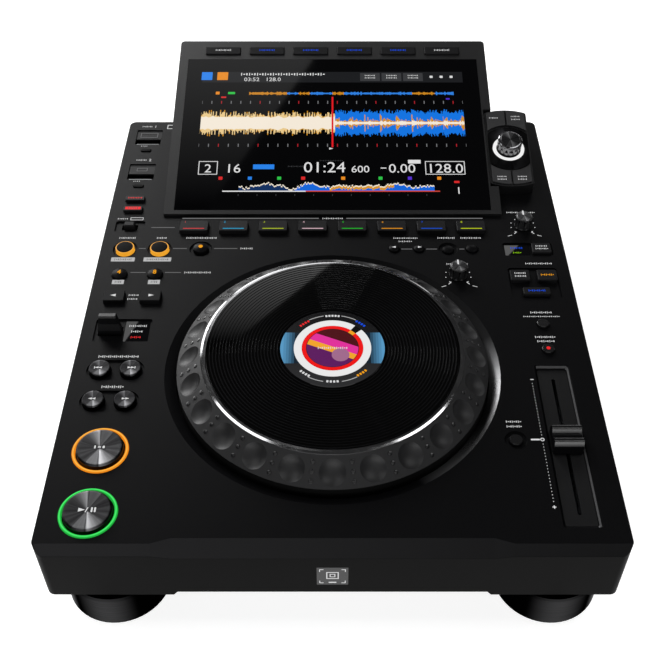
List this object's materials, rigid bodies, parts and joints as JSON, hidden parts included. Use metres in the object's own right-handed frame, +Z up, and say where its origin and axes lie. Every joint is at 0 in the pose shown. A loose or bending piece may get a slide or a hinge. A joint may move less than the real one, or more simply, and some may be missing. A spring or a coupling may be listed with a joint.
{
  "type": "tabletop dj media player",
  "caption": "Tabletop media player for disc jockeys with a dimpled jog wheel, a tilted touch screen, a tempo fader, a direction lever and round feet.",
  "frame": {"origin": "on the table, under the middle of the outline of the whole player", "axes": "+X to the right seen from the front, +Y to the back, +Z up"},
  "size_m": [0.329, 0.4584, 0.1226],
  "materials": {
    "body_plastic": "fine moulded texture",
    "screen_frame_plastic": "fine moulded texture",
    "pod_plastic": "fine moulded texture",
    "chassis_steel": "black powder coat on folded sheet",
    "foot_metal": "turned and black anodised",
    "pad_rubber": "soft black rubber",
    "screen_glass": "polished",
    "lcd_panel": "glossy",
    "wheel_plastic": "satin black moulding",
    "trim_metal": "bright ring",
    "platter_metal": "finely grooved black metal",
    "bearing_steel": "ground steel",
    "spindle_metal": "machined",
    "display_disc_plastic": "glossy lens over the display",
    "light_ring_plastic": "translucent ring",
    "window_plastic": "dark glossy window",
    "slot_plate_plastic": "satin",
    "fader_steel": "pressed steel case",
    "socket_steel": "folded sheet shells",
    "board_laminate": "green circuit board",
    "supply_laminate": "circuit board and its parts",
    "rear_socket_plastic": "moulded sockets",
    "flap_plastic": "satin",
    "fader_knob_plastic": "satin with a bright ridge",
    "lever_plastic": "satin",
    "selector_metal": "turned and knurled",
    "shaft_steel": "turned steel",
    "knob_rubber": "satin",
    "key_rubber": "satin key caps",
    "spun_metal": "spun face, dark",
    "switch_plastic": "black rocker plastic"
  },
  "bodies": {
    "player_body": {"top_panel": "body_plastic", "bottom_chassis": "chassis_steel", "feet": "foot_metal", "foot_pads": "pad_rubber", "display_housing": "screen_frame_plastic", "display_glass": "screen_glass", "lcd_module": "lcd_panel", "jog_spindle": "spindle_metal", "jog_bearing": "bearing_steel", "jog_display": "display_disc_plastic", "light_rings": "light_ring_plastic", "selector_pod": "pod_plastic", "tempo_slot_plate": "slot_plate_plastic", "tempo_fader_body": "fader_steel", "usb_sockets": "socket_steel", "legend_windows": "window_plastic", "main_board": "board_laminate", "power_supply": "supply_laminate", "rear_sockets": "rear_socket_plastic"},
    "jog_wheel": {"jog_wheel": "wheel_plastic", "jog_trim_ring": "trim_metal"},
    "jog_platter": {"jog_platter": "platter_metal"},
    "tempo_knob": {"tempo_knob": "fader_knob_plastic"},
    "direction_lever": {"direction_lever": "lever_plastic"},
    "hot_cue_mode_lever": {"hot_cue_mode_lever": "lever_plastic"},
    "selector_shaft": {"selector_shaft": "shaft_steel"},
    "selector_knob": {"selector_knob": "selector_metal"},
    "vinyl_speed_knob": {"vinyl_speed_knob": "knob_rubber"},
    "jog_adjust_knob": {"jog_adjust_knob": "knob_rubber"},
    "usb_flap_1": {"usb_flap_1": "flap_plastic"},
    "usb_flap_2": {"usb_flap_2": "flap_plastic"},
    "hot_cue_key_1": {"hot_cue_key_1": "key_rubber"},
    "hot_cue_key_2": {"hot_cue_key_2": "key_rubber"},
    "hot_cue_key_3": {"hot_cue_key_3": "key_rubber"},
    "hot_cue_key_4": {"hot_cue_key_4": "key_rubber"},
    "hot_cue_key_5": {"hot_cue_key_5": "key_rubber"},
    "hot_cue_key_6": {"hot_cue_key_6": "key_rubber"},
    "hot_cue_key_7": {"hot_cue_key_7": "key_rubber"},
    "hot_cue_key_8": {"hot_cue_key_8": "key_rubber"},
    "cue_button": {"cue_button": "spun_metal"},
    "play_button": {"play_button": "spun_metal"},
    "loop_in_button": {"loop_in_button": "key_rubber"},
    "loop_out_button": {"loop_out_button": "key_rubber"},
    "reloop_button": {"reloop_button": "key_rubber"},
    "beat_loop_4_button": {"beat_loop_4_button": "key_rubber"},
    "beat_loop_8_button": {"beat_loop_8_button": "key_rubber"},
    "beat_jump_back_key": {"beat_jump_back_key": "key_rubber"},
    "beat_jump_forward_key": {"beat_jump_forward_key": "key_rubber"},
    "track_back_button": {"track_back_button": "key_rubber"},
    "track_forward_button": {"track_forward_button": "key_rubber"},
    "search_back_button": {"search_back_button": "key_rubber"},
    "search_forward_button": {"search_forward_button": "key_rubber"},
    "usb_stop_keys": {"usb_stop_keys": "key_rubber"},
    "quantize_and_slip_keys": {"quantize_and_slip_keys": "key_rubber"},
    "sync_and_mode_keys": {"sync_and_mode_keys": "key_rubber"},
    "tempo_buttons": {"tempo_buttons": "key_rubber"},
    "memory_buttons": {"memory_buttons": "key_rubber"},
    "menu_keys": {"menu_keys": "key_rubber"},
    "selector_pod_keys": {"selector_pod_keys": "key_rubber"},
    "power_switch": {"power_switch": "switch_plastic"}
  },
  "joints": [
    {"name": "jog_wheel_spin", "type": "hinge", "parent": "player_body", "child": "jog_wheel", "pos_m": [0, -0.0928, 0.079], "axis": [0, 0, 1], "continuous": true},
    {"name": "jog_platter_press", "type": "slide", "parent": "jog_wheel", "child": "jog_platter", "axis": [0, 0, 1], "range_m": [-0.0004, 0], "stiffness_N_per_m": 2500, "springref_m": 0.0015},
    {"name": "tempo_knob_slide", "type": "slide", "parent": "player_body", "child": "tempo_knob", "axis": [0, 1, 0], "range_m": [-0.048, 0.048]},
    {"name": "direction_lever_tilt", "type": "hinge", "parent": "player_body", "child": "direction_lever", "pos_m": [-0.1456, -0.0609, 0.07], "axis": [1, 0, 0], "range_deg": [-10, 10]},
    {"name": "hot_cue_mode_lever_tilt", "type": "hinge", "parent": "player_body", "child": "hot_cue_mode_lever", "pos_m": [-0.1472, 0.0449, 0.07], "axis": [0, 1, 0], "range_deg": [-9, 9]},
    {"name": "selector_press", "type": "slide", "parent": "player_body", "child": "selector_shaft", "axis": [0, -0.2334, 0.9724], "range_m": [-0.0008, 0], "stiffness_N_per_m": 500, "springref_m": 0.003},
    {"name": "selector_knob_turn", "type": "hinge", "parent": "selector_shaft", "child": "selector_knob", "pos_m": [0.1346, 0.11808, 0.09531], "axis": [0, -0.2334, 0.9724], "continuous": true},
    {"name": "vinyl_speed_knob_turn", "type": "hinge", "parent": "player_body", "child": "vinyl_speed_knob", "pos_m": [0.1383, 0.0454, 0.079], "axis": [0, 0, 1], "range_deg": [-150, 150]},
    {"name": "jog_adjust_knob_turn", "type": "hinge", "parent": "player_body", "child": "jog_adjust_knob", "pos_m": [0.0868, -0.008, 0.079], "axis": [0, 0, 1], "range_deg": [-150, 150]},
    {"name": "usb_flap_1_open", "type": "hinge", "parent": "player_body", "child": "usb_flap_1", "pos_m": [-0.1472, 0.1648, 0.0774], "axis": [-1, 0, 0], "range_deg": [0, 95]},
    {"name": "usb_flap_2_open", "type": "hinge", "parent": "player_body", "child": "usb_flap_2", "pos_m": [-0.1472, 0.1191, 0.0774], "axis": [-1, 0, 0], "range_deg": [0, 95]},
    {"name": "hot_cue_key_1_press", "type": "slide", "parent": "player_body", "child": "hot_cue_key_1", "axis": [0, 0, 1], "range_m": [-0.001, 0], "stiffness_N_per_m": 350, "springref_m": 0.003},
    {"name": "hot_cue_key_2_press", "type": "slide", "parent": "player_body", "child": "hot_cue_key_2", "axis": [0, 0, 1], "range_m": [-0.001, 0], "stiffness_N_per_m": 350, "springref_m": 0.003},
    {"name": "hot_cue_key_3_press", "type": "slide", "parent": "player_body", "child": "hot_cue_key_3", "axis": [0, 0, 1], "range_m": [-0.001, 0], "stiffness_N_per_m": 350, "springref_m": 0.003},
    {"name": "hot_cue_key_4_press", "type": "slide", "parent": "player_body", "child": "hot_cue_key_4", "axis": [0, 0, 1], "range_m": [-0.001, 0], "stiffness_N_per_m": 350, "springref_m": 0.003},
    {"name": "hot_cue_key_5_press", "type": "slide", "parent": "player_body", "child": "hot_cue_key_5", "axis": [0, 0, 1], "range_m": [-0.001, 0], "stiffness_N_per_m": 350, "springref_m": 0.003},
    {"name": "hot_cue_key_6_press", "type": "slide", "parent": "player_body", "child": "hot_cue_key_6", "axis": [0, 0, 1], "range_m": [-0.001, 0], "stiffness_N_per_m": 350, "springref_m": 0.003},
    {"name": "hot_cue_key_7_press", "type": "slide", "parent": "player_body", "child": "hot_cue_key_7", "axis": [0, 0, 1], "range_m": [-0.001, 0], "stiffness_N_per_m": 350, "springref_m": 0.003},
    {"name": "hot_cue_key_8_press", "type": "slide", "parent": "player_body", "child": "hot_cue_key_8", "axis": [0, 0, 1], "range_m": [-0.001, 0], "stiffness_N_per_m": 350, "springref_m": 0.003},
    {"name": "cue_button_press", "type": "slide", "parent": "player_body", "child": "cue_button", "axis": [0, 0, 1], "range_m": [-0.001, 0], "stiffness_N_per_m": 400, "springref_m": 0.003},
    {"name": "play_button_press", "type": "slide", "parent": "player_body", "child": "play_button", "axis": [0, 0, 1], "range_m": [-0.001, 0], "stiffness_N_per_m": 400, "springref_m": 0.003},
    {"name": "loop_in_button_press", "type": "slide", "parent": "player_body", "child": "loop_in_button", "axis": [0, 0, 1], "range_m": [-0.001, 0], "stiffness_N_per_m": 350, "springref_m": 0.003},
    {"name": "loop_out_button_press", "type": "slide", "parent": "player_body", "child": "loop_out_button", "axis": [0, 0, 1], "range_m": [-0.001, 0], "stiffness_N_per_m": 350, "springref_m": 0.003},
    {"name": "reloop_button_press", "type": "slide", "parent": "player_body", "child": "reloop_button", "axis": [0, 0, 1], "range_m": [-0.001, 0], "stiffness_N_per_m": 350, "springref_m": 0.003},
    {"name": "beat_loop_4_button_press", "type": "slide", "parent": "player_body", "child": "beat_loop_4_button", "axis": [0, 0, 1], "range_m": [-0.001, 0], "stiffness_N_per_m": 350, "springref_m": 0.003},
    {"name": "beat_loop_8_button_press", "type": "slide", "parent": "player_body", "child": "beat_loop_8_button", "axis": [0, 0, 1], "range_m": [-0.001, 0], "stiffness_N_per_m": 350, "springref_m": 0.003},
    {"name": "beat_jump_back_key_press", "type": "slide", "parent": "player_body", "child": "beat_jump_back_key", "axis": [0, 0, 1], "range_m": [-0.001, 0], "stiffness_N_per_m": 350, "springref_m": 0.003},
    {"name": "beat_jump_forward_key_press", "type": "slide", "parent": "player_body", "child": "beat_jump_forward_key", "axis": [0, 0, 1], "range_m": [-0.001, 0], "stiffness_N_per_m": 350, "springref_m": 0.003},
    {"name": "track_back_button_press", "type": "slide", "parent": "player_body", "child": "track_back_button", "axis": [0, 0, 1], "range_m": [-0.001, 0], "stiffness_N_per_m": 350, "springref_m": 0.003},
    {"name": "track_forward_button_press", "type": "slide", "parent": "player_body", "child": "track_forward_button", "axis": [0, 0, 1], "range_m": [-0.001, 0], "stiffness_N_per_m": 350, "springref_m": 0.003},
    {"name": "search_back_button_press", "type": "slide", "parent": "player_body", "child": "search_back_button", "axis": [0, 0, 1], "range_m": [-0.001, 0], "stiffness_N_per_m": 350, "springref_m": 0.003},
    {"name": "search_forward_button_press", "type": "slide", "parent": "player_body", "child": "search_forward_button", "axis": [0, 0, 1], "range_m": [-0.001, 0], "stiffness_N_per_m": 350, "springref_m": 0.003},
    {"name": "usb_stop_keys_press", "type": "slide", "parent": "player_body", "child": "usb_stop_keys", "axis": [0, 0, 1], "range_m": [-0.001, 0], "stiffness_N_per_m": 350, "springref_m": 0.003},
    {"name": "quantize_and_slip_keys_press", "type": "slide", "parent": "player_body", "child": "quantize_and_slip_keys", "axis": [0, 0, 1], "range_m": [-0.001, 0], "stiffness_N_per_m": 350, "springref_m": 0.003},
    {"name": "sync_and_mode_keys_press", "type": "slide", "parent": "player_body", "child": "sync_and_mode_keys", "axis": [0, 0, 1], "range_m": [-0.001, 0], "stiffness_N_per_m": 350, "springref_m": 0.003},
    {"name": "tempo_buttons_press", "type": "slide", "parent": "player_body", "child": "tempo_buttons", "axis": [0, 0, 1], "range_m": [-0.001, 0], "stiffness_N_per_m": 350, "springref_m": 0.003},
    {"name": "memory_buttons_press", "type": "slide", "parent": "player_body", "child": "memory_buttons", "axis": [0, 0, 1], "range_m": [-0.001, 0], "stiffness_N_per_m": 350, "springref_m": 0.003},
    {"name": "menu_keys_press", "type": "slide", "parent": "player_body", "child": "menu_keys", "axis": [0, -0.2334, 0.9724], "range_m": [-0.0008, 0], "stiffness_N_per_m": 350, "springref_m": 0.003},
    {"name": "selector_pod_keys_press", "type": "slide", "parent": "player_body", "child": "selector_pod_keys", "axis": [0, -0.2334, 0.9724], "range_m": [-0.0008, 0], "stiffness_N_per_m": 350, "springref_m": 0.003},
    {"name": "power_switch_press", "type": "slide", "parent": "player_body", "child": "power_switch", "axis": [0, -1, 0], "range_m": [0, 0.0015], "stiffness_N_per_m": 600, "springref_m": -0.003}
  ]
}
